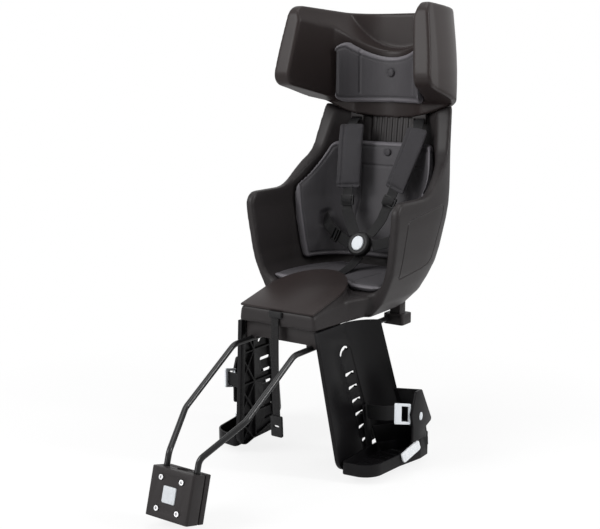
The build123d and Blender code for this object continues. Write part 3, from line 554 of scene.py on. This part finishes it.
def refine(piece, line, axes, where, reach, cuts):
    """Divides the faces near a line, so that it can be pressed in sharply."""
    points = points_of(piece)
    near = distance_to_line(points[:, axes], np.array(line, float)) < reach
    near &= where(points, normals_of(piece)) > 0
    with editing(piece, "DESELECT"):
        pass
    for face in piece.data.polygons:
        face.select = all(near[index] for index in face.vertices)
    select_only(piece)
    bpy.ops.object.mode_set(mode="EDIT")
    bpy.ops.mesh.subdivide(number_cuts=cuts)
    bpy.ops.object.mode_set(mode="OBJECT")


def sharp_points(piece, angle=50.0, step=2.5 * MM):
    """Points along the sharp edges of a piece."""
    with editing(piece, "DESELECT"):
        bpy.ops.mesh.select_mode(type="EDGE")
        bpy.ops.mesh.edges_select_sharp(sharpness=math.radians(angle))
    points = points_of(piece)
    found = []
    for edge in piece.data.edges:
        if edge.select:
            start, end = points[edge.vertices[0]], points[edge.vertices[1]]
            count = max(2, int(np.linalg.norm(end - start) / step) + 1)
            found.extend(np.linspace(start, end, count))
    return np.array(found)


def away_from(piece, rim):
    """Distance of each point of a piece from the nearest point of its rim."""
    tree = KDTree(len(rim))
    for index, point in enumerate(rim):
        tree.insert(point, index)
    tree.balance()
    return np.array([tree.find(point)[2] for point in points_of(piece)])


def even_out(piece, rim):
    """Takes the facets out of a pad's broad faces and leaves its rim as it is."""
    flat = np.clip(away_from(piece, rim) / (3 * sizes().seam_width) - 1, 0, 1)
    modify(piece, "SMOOTH", factor=0.5, iterations=sizes().flat_turns, vertex_group=mark(piece, "flat", flat))


def pipe(piece, rim, where, height):
    """Rolls a raised piping along a pad's rim, with the sewn groove inside it, and keeps the roll's share in the
    "rim" attribute, from which the foam paints a highlight on the piping.
    """
    points = points_of(piece)
    normals = normals_of(piece)
    away = away_from(piece, rim)
    seam = sizes().seam_width
    roll = height * np.clip(1 - ((away - 1.6 * seam) / (1.5 * seam)) ** 2, 0, 1)
    groove = sizes().seam_depth * np.clip(1 - ((away - 3.6 * seam) / seam) ** 2, 0, 1) ** 2
    shown = where(points, normals)
    move_points(piece, points + normals * ((roll - groove) * shown)[:, None])
    # Share of the roll, kept as the "rim" attribute, that sets the painted highlight on the piping.
    piping_highlight_share = piece.data.attributes.new("rim", "FLOAT", "POINT")
    piping_highlight_share.data.foreach_set("value", (shown * roll / height).astype(np.float32))


def settle(piece, *nodes, rides=True):
    """Gives a finished piece the material of its nodes' slot and, when it rides, their body, and hides the nodes
    that it stands for.
    """
    first = nodes[0]
    piece.data.materials.clear()
    piece.data.materials.append(finish_of(SLOT_OF[first]))
    if rides:
        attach(piece, BODY_OF[first])
    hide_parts(*nodes)
    return piece


def route_line(points, steps):
    """Points read from the smooth spline that a route's points control."""
    curve = bpy.data.curves.new("route", "CURVE")
    curve.dimensions = "3D"
    spline = curve.splines.new("NURBS")
    spline.points.add(len(points) - 1)
    for point, place in zip(spline.points, points):
        point.co = (*place, 1.0)
    spline.order_u = 3
    spline.use_endpoint_u = True
    spline.resolution_u = steps
    holder = bpy.data.objects.new("route", curve)
    bpy.context.scene.collection.objects.link(holder)
    mesh = bpy.data.meshes.new_from_object(holder)
    line = np.array([vertex.co for vertex in mesh.vertices])
    bpy.data.objects.remove(holder)
    bpy.data.curves.remove(curve)
    bpy.data.meshes.remove(mesh)
    return line


def run_of(line):
    return np.concatenate([[0], np.cumsum(np.linalg.norm(np.diff(line, axis=0), axis=1))])


def ribbon(name, line, across, width, thick, columns=8, arch=0.0):
    """Flat webbing: a grid laid along a line, given its thickness and rounded selvedges."""
    rows = len(line) - 1
    run = run_of(line)
    bpy.ops.object.select_all(action="DESELECT")
    bpy.ops.mesh.primitive_grid_add(x_subdivisions=columns, y_subdivisions=rows, size=2)
    piece = bpy.context.object
    piece.name = name
    grid = points_of(piece)
    u = grid[:, 0]
    row = np.round((grid[:, 1] + 1) / 2 * rows).astype(int)
    ahead = np.gradient(line, axis=0)
    ahead /= np.linalg.norm(ahead, axis=1)[:, None]
    across = np.array(across, float)
    across = np.linspace(across[0], across[-1], rows + 1) if across.ndim == 2 else np.tile(across, (rows + 1, 1))
    side = across - ahead * np.sum(across * ahead, axis=1)[:, None]
    side /= np.linalg.norm(side, axis=1)[:, None]
    out = np.cross(side, ahead)
    placed = line[row] + side[row] * (u * width / 2)[:, None] + out[row] * (arch * (1 - u * u))[:, None]
    layer = piece.data.uv_layers[0]
    layer.name = "route"
    corners = np.zeros(len(piece.data.loops), np.int32)
    piece.data.loops.foreach_get("vertex_index", corners)
    uv = np.stack([u[corners] * width / 2, run[row[corners]]], axis=1)
    layer.data.foreach_set("uv", uv.astype(np.float32).ravel())
    move_points(piece, placed)
    modify(piece, "SOLIDIFY", thickness=thick, offset=0.0)
    modify(piece, "BEVEL", width=thick * 0.3, segments=2, limit_method="ANGLE", angle_limit=math.radians(50))
    with editing(piece):
        bpy.ops.mesh.normals_make_consistent(inside=False)
    select_only(piece)
    bpy.ops.object.shade_smooth_by_angle(angle=math.radians(50))
    return piece


def plump(piece, held):
    """Swells a pad by a pressure inside it, with its held points fixed, and caps and smooths the swell."""
    melt(piece, sizes().pad_edge, sizes().pad_turns)
    modify(piece, "REMESH", mode="VOXEL", voxel_size=sizes().pad_voxel, use_smooth_shade=True)
    modify(piece, "SMOOTH", factor=0.5, iterations=4)
    rest = points_of(piece)
    group = mark(piece, "held", held(rest, normals_of(piece)).astype(float))
    cloth = piece.modifiers.new("plump", "CLOTH")
    cloth.settings.use_pressure = True
    cloth.settings.uniform_pressure_force = sizes().pad_pressure
    cloth.settings.effector_weights.gravity = 0.0
    cloth.settings.vertex_group_mass = group
    cloth.point_cache.frame_start = 1
    cloth.point_cache.frame_end = sizes().pad_frames
    for step in range(1, sizes().pad_frames + 1):
        bpy.context.scene.frame_set(step)
    select_only(piece)
    bpy.ops.object.modifier_apply(modifier=cloth.name)
    moved = points_of(piece) - rest
    far = np.linalg.norm(moved, axis=1)
    cap = sizes().pad_cap
    moved *= (np.minimum(far, cap) / np.maximum(far, 1e-9))[:, None]
    move_points(piece, rest + moved)
    bpy.context.scene.frame_set(1)
    modify(piece, "SMOOTH", factor=0.5, iterations=3)
    return piece


# Operators, one for each group of pieces
class SeatOperator:
    bl_options = {"REGISTER", "UNDO"}


class SEAT_OT_stage(SeatOperator, Operator):
    """Camera, soft lights and a pale floor"""

    bl_idname = "seat.stage"
    bl_label = "Stage"

    camera_at = (1.2146, -1.3928, 0.7917)
    camera_to = (0.0, 0.3925, 0.3704)
    lens = 63.19

    def area(self, name, place, size, power, tint=(1, 1, 1)):
        bpy.ops.object.light_add(type="AREA", location=place)
        lamp = bpy.context.object
        lamp.name = name
        lamp.data.shape = "RECTANGLE"
        lamp.data.size, lamp.data.size_y = size
        lamp.data.energy = power
        lamp.data.color = tint
        lamp.rotation_euler = (Vector((0, 0.45, 0.4)) - Vector(place)).to_track_quat("-Z", "Y").to_euler()

    def world(self):
        world = bpy.data.worlds.new("studio")
        bpy.context.scene.world = world
        world.use_nodes = True
        tree = world.node_tree
        sky = tree.nodes["Background"]
        sky.inputs["Color"].default_value = (1, 1, 1, 1)
        sky.inputs["Strength"].default_value = 0.3
        seen = tree.nodes.new("ShaderNodeBackground")
        mix = tree.nodes.new("ShaderNodeMixShader")
        path = tree.nodes.new("ShaderNodeLightPath")
        rays = path.outputs["Is Camera Ray"]
        for kind in ("Is Glossy Ray", "Is Transmission Ray"):
            either = tree.nodes.new("ShaderNodeMath")
            either.operation = "MAXIMUM"
            tree.links.new(rays, either.inputs[0])
            tree.links.new(path.outputs[kind], either.inputs[1])
            rays = either.outputs[0]
        tree.links.new(rays, mix.inputs[0])
        tree.links.new(sky.outputs[0], mix.inputs[1])
        tree.links.new(seen.outputs[0], mix.inputs[2])
        seen.inputs["Color"].default_value = (1, 1, 1, 1)
        tree.links.new(mix.outputs[0], tree.nodes["World Output"].inputs[0])

    def floor(self):
        bpy.ops.mesh.primitive_circle_add(vertices=96, radius=40, fill_type="NGON", location=(0, 0, 0))
        floor = bpy.context.object
        floor.name = "floor"
        move_points(floor, points_of(floor) + np.array([0, 0, CAD_BOX[0].z - 12 * MM]))
        finish = Finish("floor_paint", 0.8)
        finish.set(Base_Color=(0.9, 0.9, 0.9))
        tree = finish.tree
        x, y, _ = finish.axes(finish.place())
        far = (x * x + (y - 0.3) * (y - 0.3) - 0.25).limited()
        seen = finish.node("ShaderNodeLightPath", output="Is Camera Ray") * (0.84 + 0.16 * far)
        glow = finish.node("ShaderNodeEmission", {}, {"Color": (1.0, 1.0, 1.0)})
        mix = finish.node("ShaderNodeMixShader", {}, {0: seen, 2: glow}).socket.node
        tree.links.new(finish.shader.outputs[0], mix.inputs[1])
        tree.links.new(mix.outputs[0], tree.nodes["Material Output"].inputs[0])
        floor.data.materials.append(finish.material)

    def execute(self, context):
        bpy.ops.object.select_all(action="DESELECT")
        bpy.ops.object.camera_add(location=self.camera_at)
        camera = context.object
        camera.name = "camera"
        aim = Vector(self.camera_to) - Vector(self.camera_at)
        camera.rotation_euler = aim.to_track_quat("-Z", "Y").to_euler()
        camera.data.lens = self.lens
        camera.data.sensor_width = 36.0
        context.scene.camera = camera
        context.scene.view_settings.view_transform = "Standard"
        self.area("key", (-1.5, -2.0, 2.2), (1.4, 1.4), 74)
        self.area("rim", (2.1, 0.95, 1.5), (0.25, 1.4), 32)
        self.area("top", (0.1, 0.4, 2.7), (1.6, 1.6), 24)
        self.area("front", (-1.1, -2.7, 0.3), (0.9, 1.2), 20)
        self.world()
        self.floor()
        return {"FINISHED"}


class SEAT_OT_nodes(SeatOperator, Operator):
    """Finish of every moulding that keeps its own form"""

    bl_idname = "seat.nodes"
    bl_label = "Plain mouldings"

    def execute(self, context):
        for node, obj in NODES.items():
            obj.data.materials.clear()
            obj.data.materials.append(finish_of(SLOT_OF[node]))
        return {"FINISHED"}


class SEAT_OT_shell(SeatOperator, Operator):
    """Bucket and nose as one smooth moulding, with a line engraved in each arm"""

    bl_idname = "seat.shell"
    bl_label = "Shell"

    back_lean = math.radians(7)
    close_up = 4.2 * MM

    def execute(self, context):
        def roll(points):
            return np.clip((points[:, 1] - 0.40) / 0.06, 0.22, 1.0)

        def outer_side(points, normals):
            return (np.abs(normals[:, 0]) > 0.5) * (points[:, 0] * normals[:, 0] > 0.05)

        piece = rolled("seat_shell", "shell", sizes().shell_voxel, sizes().rim_edge, sizes().shell_turns, roll)
        points = points_of(piece)
        high = np.clip((points[:, 2] - 0.60) / 0.05, 0, 1)
        lean = np.array([0, math.sin(self.back_lean), math.cos(self.back_lean)])
        move_points(piece, points + self.close_up * high[:, None] * lean)
        line = metres(ARM_LINE)
        refine(piece, line, [1, 2], outer_side, 3.0 * sizes().shell_voxel, 3)
        press(piece, line, [1, 2], outer_side, 1.5 * sizes().engraving, sizes().engraving)
        settle(piece, "seat_shell")
        return {"FINISHED"}


class SEAT_OT_headrest(SeatOperator, Operator):
    """Winged headrest"""

    bl_idname = "seat.headrest"
    bl_label = "Headrest"

    def execute(self, context):
        piece = rolled("headrest_shell", "headrest", sizes().head_voxel, sizes().rim_edge, sizes().head_turns)
        settle(piece, "headrest_shell")
        return {"FINISHED"}


class SEAT_OT_pads(SeatOperator, Operator):
    """Foam pads of the back, the seat and the headrest"""

    bl_idname = "seat.pads"
    bl_label = "Pads"

    def front(self, points, normals):
        return normals[:, 1] < 0.35

    def top(self, points, normals):
        return normals[:, 2] > 0.2

    def pad(self, node, name, fill, shown):
        piece = copy_node(node, name)
        rim = sharp_points(piece)
        plump(piece, lambda points, normals: ~shown(points, normals))
        even_out(piece, rim)
        pipe(piece, rim, shown, sizes().piping)
        return piece

    def dimple(self, piece, stud):
        x, _, z = middle(stud)
        spot = [(x - MM, z), (x + MM, z)]
        press(piece, spot, [0, 2], self.front, 15 * MM, 3.0 * MM)

    def seam(self, piece, line, axes, shown):
        press(piece, metres(line), axes, shown, sizes().seam_width, sizes().seam_depth)

    def execute(self, context):
        across = [0, 2]
        back = self.pad("back_pad", "back_cushion", 0.7, self.front)
        self.dimple(back, "back_pad_stud")
        self.seam(back, [(-108, 549), (0, 546), (108, 549)], across, self.front)
        for way in (-1, 1):
            self.seam(back, [(way * 64, 543), (way * 62, 470), (way * 74, 372)], across, self.front)
            slot = metres([(way * 126, 434), (way * 123, 412)])
            press(back, slot, across, self.front, 13 * MM, 7 * MM)
        settle(back, "back_pad")
        head = self.pad("headrest_pad", "headrest_cushion", 0.6, self.front)
        self.dimple(head, "headrest_stud")
        for way in (-1, 1):
            self.seam(head, [(way * 70, 812), (way * 69, 715)], across, self.front)
        settle(head, "headrest_pad")
        seat = self.pad("seat_pad", "seat_cushion", 0.7, self.top)
        for way in (-1, 1):
            self.seam(seat, [(way * 60, 500), (way * 70, 612)], [0, 1], self.top)
        settle(seat, "seat_pad")
        return {"FINISHED"}


class SEAT_OT_shoulder_pads(SeatOperator, Operator):
    """Padded sleeves on the shoulder straps"""

    bl_idname = "seat.shoulder_pads"
    bl_label = "Shoulder pads"

    def execute(self, context):
        for side in SIDES:
            node = f"{side}_shoulder_pad"
            route = metres(PAD_ROUTES[side])
            way = np.sign(route[0, 0])
            run = unit(route[-1] - route[0])
            level = unit(np.array([1.0, -0.22 * way, 0.0]) - run * run[0])
            out = np.cross(level, run)
            out = out if out[1] < 0 else -out
            piece = copy_node(node, f"{side}_shoulder_sleeve")
            plump(piece, lambda points, normals: normals @ out < -0.5)

            def shown(points, normals, out=out):
                return normals @ out > 0.1

            border = route + level * (-17 * MM) + out * 5 * MM
            hem = [route[-1] - run * 9 * MM + level * (step * MM) + out * 5 * MM for step in (-40, 40)]
            for line in (border, hem):
                press(piece, line, [0, 1, 2], shown, 1.2 * sizes().seam_width, 1.2 * sizes().seam_depth)
            settle(piece, node)
        return {"FINISHED"}


class SEAT_OT_webbing(SeatOperator, Operator):
    """Harness webbing through its adjusters to the buckle"""

    bl_idname = "seat.webbing"
    bl_label = "Webbing"

    def strap(self, name, points, across, steps=14):
        line = route_line(points, steps)
        return ribbon(name, line, across, sizes().web_width, sizes().web_thick)

    def shoulder(self, side):
        """Strap through the sleeve and the adjuster, and the webbing from there to the buckle."""
        route = metres(PAD_ROUTES[side])
        rise = unit(route[0] - route[1])
        fall = unit(route[-1] - route[-2])
        level = np.array([1.0, 0.0, 0.0])
        out = unit(np.cross(level, fall))
        out = out if out[1] < 0 else -out
        lock = middle(f"{side}_shoulder_adjuster")
        guide = np.array([route[0, 0], route[0, 1] + 20.7 * MM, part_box(f"{side}_shoulder_strap")[1].z])
        guide[0] = math.copysign(82 * MM, guide[0])
        upper = self.strap(f"{side}_upper_strap", [route[0] - rise * 8 * MM, route[0] + rise * 9 * MM, guide], level)
        settle(upper, f"{side}_shoulder_strap")
        hump = out * 3.9 * MM
        tucked = out * -2.5 * MM
        into = [route[-1] - fall * 8 * MM, lock - fall * 13 * MM, lock - fall * 7 * MM + hump, lock + hump]
        lower = self.strap(f"{side}_lower_strap", into, level)
        lower.data.materials.append(finish_of("webbing"))
        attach(lower, "headrest")
        away = [lock + hump, lock + fall * 7 * MM + hump, lock + fall * 14 * MM + tucked, lock + fall * 24 * MM]
        points = away + list(metres(WEB_ROUTES[side]))
        webbing = self.strap(f"{side}_webbing", points, level, 18)
        settle(webbing, f"{side}_lower_webbing", rides=False)
        lock + fall * 12 * MM
        points[-1] - fall * 12 * MM
        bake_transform(webbing)

    def execute(self, context):
        for side in SIDES:
            self.shoulder(side)
            way = -1 if side == "left" else 1
            hip = metres(HIP_ROUTE) * np.array([way, 1, 1])
            settle(self.strap(f"{side}_hip_webbing", hip, (0, 0.35, 1)), f"{side}_hip_strap")
        settle(self.strap("crotch_webbing", metres(CROTCH_ROUTE), (1, 0, 0)), "crotch_strap")
        return {"FINISHED"}


class SEAT_OT_safety_strap(SeatOperator, Operator):
    """Free safety strap that hangs from the nose, with two rows of teeth"""

    bl_idname = "seat.safety_strap"
    bl_label = "Safety strap"

    width = 18 * MM
    thick = 2.2 * MM
    row_at = 4.4 * MM

    def teeth(self, piece, line):
        points = points_of(piece)
        normals = normals_of(piece)
        along = line[0, 2] - points[:, 2]
        beat = np.cos(2 * math.pi * along / sizes().tooth_pitch)
        row = np.clip(1 - ((np.abs(points[:, 0]) - self.row_at) / (2.4 * MM)) ** 2, 0, 1)
        shown = np.clip(-normals[:, 1], 0, 1)
        move_points(piece, points + normals * (sizes().tooth_height * np.clip(beat, -0.2, 1) * row * shown)[:, None])

    def execute(self, context):
        line = route_line(metres(SAFETY_ROUTE), 96)
        strap = ribbon("safety_strap_toothed", line, (1, 0, 0), self.width, self.thick, columns=16)
        self.teeth(strap, line)
        settle(strap, "safety_strap")
        tip = crisp("safety_strap_tip", "safety_strap_end", 1.0 * MM)
        settle(tip, "safety_strap_tip")
        return {"FINISHED"}


class SEAT_OT_foot_straps(SeatOperator, Operator):
    """Soft straps across the feet"""

    bl_idname = "seat.foot_straps"
    bl_label = "Foot straps"

    width = 30 * MM
    thick = 3.0 * MM

    def execute(self, context):
        for side in SIDES:
            way = -1 if side == "left" else 1
            line = route_line(metres(FOOT_ROUTE) * np.array([way, 1, 1]), 14)
            strap = ribbon(f"{side}_foot_band", line, (0, 0, 1), self.width, self.thick, columns=10)
            settle(strap, f"{side}_foot_strap")
        return {"FINISHED"}


class SEAT_OT_heels(SeatOperator, Operator):
    """Rear wall of each footrest, up to the guard and in from the heel"""

    bl_idname = "seat.heels"
    bl_label = "Heel walls"

    thick = 3 * MM
    walls = {
        "rim": [(137.5, 483.5, -22), (187, 548, -22), (132.5, 472.5, 20), (182, 537, 20)],
        "heel": [(184.5, 544, -21), (195, 544, -21), (173.5, 489, 108), (184.5, 489.7, 108)],
    }

    def execute(self, context):
        for side in SIDES:
            way = -1 if side == "left" else 1
            for name, corners in self.walls.items():
                bpy.ops.object.select_all(action="DESELECT")
                bpy.ops.mesh.primitive_grid_add(x_subdivisions=12, y_subdivisions=12, size=1)
                piece = context.object
                piece.name = f"{side}_{name}_wall"
                along, up = (points_of(piece)[:, :2] + 0.5).T[:, :, None]
                low_in, low_out, top_in, top_out = metres(corners) * np.array([way, 1, 1])
                lower = low_in + along * (low_out - low_in)
                upper = top_in + along * (top_out - top_in)
                move_points(piece, lower + up * (upper - lower))
                modify(piece, "SOLIDIFY", thickness=self.thick, offset=0)
                modify(piece, "BEVEL", width=0.6 * MM, segments=2, limit_method="ANGLE")
                piece.data.materials.append(finish_of("guard_plastic"))
                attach(piece, f"{side}_foot")
        return {"FINISHED"}


class SEAT_OT_mouldings(SeatOperator, Operator):
    """Guards, footrests, carrier and fittings with their edges rounded"""

    bl_idname = "seat.mouldings"
    bl_label = "Mouldings"

    single = {
        "nose_cover": 1.4,
        "headrest_slider": 0.6,
        "strap_guides": 0.7,
        "harness_buckle": 1.2,
        "buckle_button": 0.6,
        "back_pad_stud": 0.7,
        "headrest_stud": 0.7,
        "front_bar_clamp": 1.0,
        "strap_keeper": 1.2,
        "block_body": 1.2,
        "block_clamp_plate": 1.2,
        "release_button": 0.8,
    }
    paired = {
        "leg_guard": 0.8,
        "footrest": 0.9,
        "strap_catch": 1.4,
        "catch_stud": 0.5,
        "strap_frame": 1.0,
        "foot_reflector": 1.0,
        "rear_bar_clamp": 1.2,
        "shoulder_adjuster": 0.7,
        "hip_adjuster": 0.7,
    }

    def execute(self, context):
        rounds = dict(self.single)
        rounds.update({f"{side}_{node}": width for node, width in self.paired.items() for side in SIDES})
        for node, width in rounds.items():
            settle(crisp(node, f"{node}_moulding", width * MM), node)
        return {"FINISHED"}


class SEAT_PT_panel(Panel):
    """Steps that build the seat"""

    bl_idname = "SEAT_PT_panel"
    bl_label = "Bike Seat"
    bl_space_type = "VIEW_3D"
    bl_region_type = "UI"
    bl_category = "Bike Seat"

    def draw(self, context):
        for step in STEPS:
            self.layout.operator(step.bl_idname)
        for group in (context.scene.seat_sizes, context.scene.seat_colours):
            column = self.layout.column(align=True)
            for name in group.bl_rna.properties.keys():
                if name not in ("rna_type", "name"):
                    column.prop(group, name)


STEPS = (
    SEAT_OT_stage,
    SEAT_OT_safety_strap,
    SEAT_OT_nodes,
    SEAT_OT_mouldings,
    SEAT_OT_heels,
    SEAT_OT_shell,
    SEAT_OT_headrest,
    SEAT_OT_pads,
    SEAT_OT_shoulder_pads,
    SEAT_OT_webbing,
    SEAT_OT_foot_straps,
)
CLASSES = (SeatSizes, SeatColours, *STEPS, SEAT_PT_panel)


def register():
    for made in CLASSES:
        bpy.utils.register_class(made)
    bpy.types.Scene.seat_sizes = PointerProperty(type=SeatSizes)
    bpy.types.Scene.seat_colours = PointerProperty(type=SeatColours)


def unregister():
    del bpy.types.Scene.seat_colours
    del bpy.types.Scene.seat_sizes
    for made in reversed(CLASSES):
        bpy.utils.unregister_class(made)


def main():
    register()
    bpy.ops.seat.stage()
    bpy.ops.seat.safety_strap()
    bpy.ops.seat.nodes()
    bpy.ops.seat.mouldings()
    bpy.ops.seat.heels()
    bpy.ops.seat.shell()
    bpy.ops.seat.headrest()
    bpy.ops.seat.pads()
    bpy.ops.seat.shoulder_pads()
    bpy.ops.seat.webbing()
    bpy.ops.seat.foot_straps()


if __name__ == "__main__":
    main()
